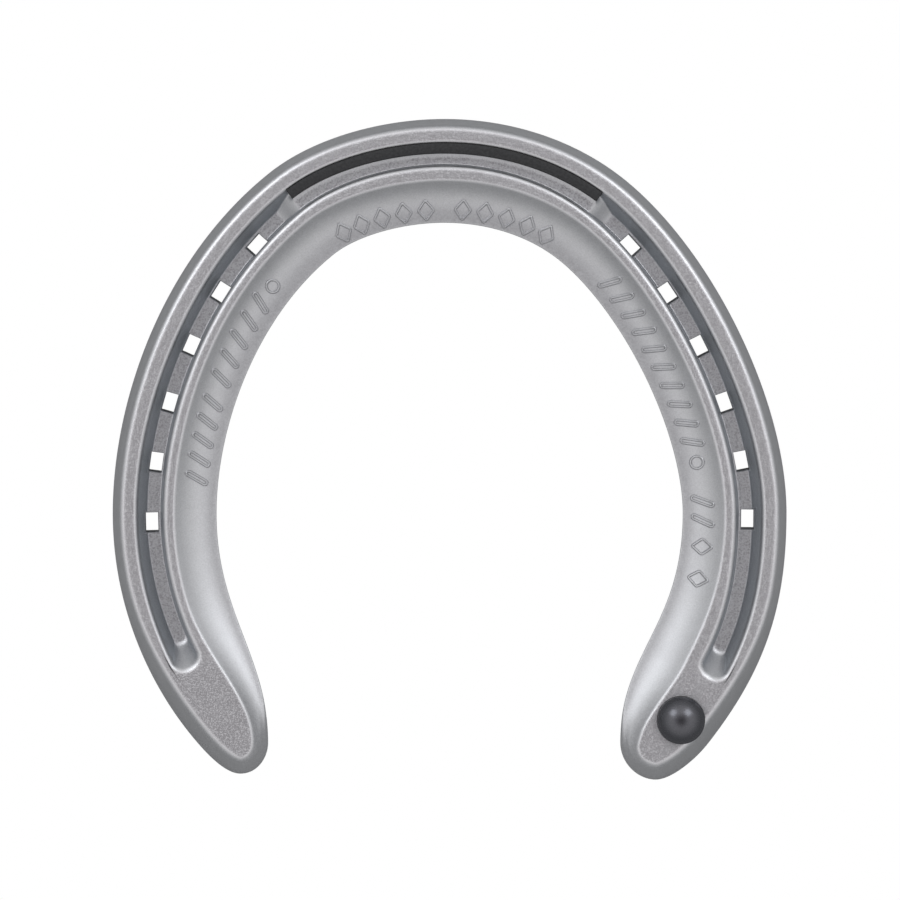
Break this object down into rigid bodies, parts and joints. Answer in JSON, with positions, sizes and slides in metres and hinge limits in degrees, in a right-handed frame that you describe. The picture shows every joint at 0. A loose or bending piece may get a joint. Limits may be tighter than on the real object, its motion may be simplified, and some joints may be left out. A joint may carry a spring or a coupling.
{
  "type": "horseshoe",
  "caption": "Flat aluminium racing horseshoe with a creased ground side, rectangular nail holes, a steel toe insert and a domed stud in one heel.",
  "frame": {"origin": "middle of the shoe's outline, on the flat hoof face", "axes": "+X to the outside branch, which carries the stud; +Y to the toe; +Z away from the hoof, to the ground side"},
  "size_m": [0.13, 0.1274, 0.0126],
  "materials": {
    "forged_aluminium": "satin, shot-blasted forging",
    "blackened_steel": "matte black oxide",
    "hardened_steel": "dark satin"
  },
  "bodies": {
    "root": {"plate": "forged_aluminium", "toe_insert": "blackened_steel", "heel_stud": "hardened_steel"}
  },
  "joints": []
}
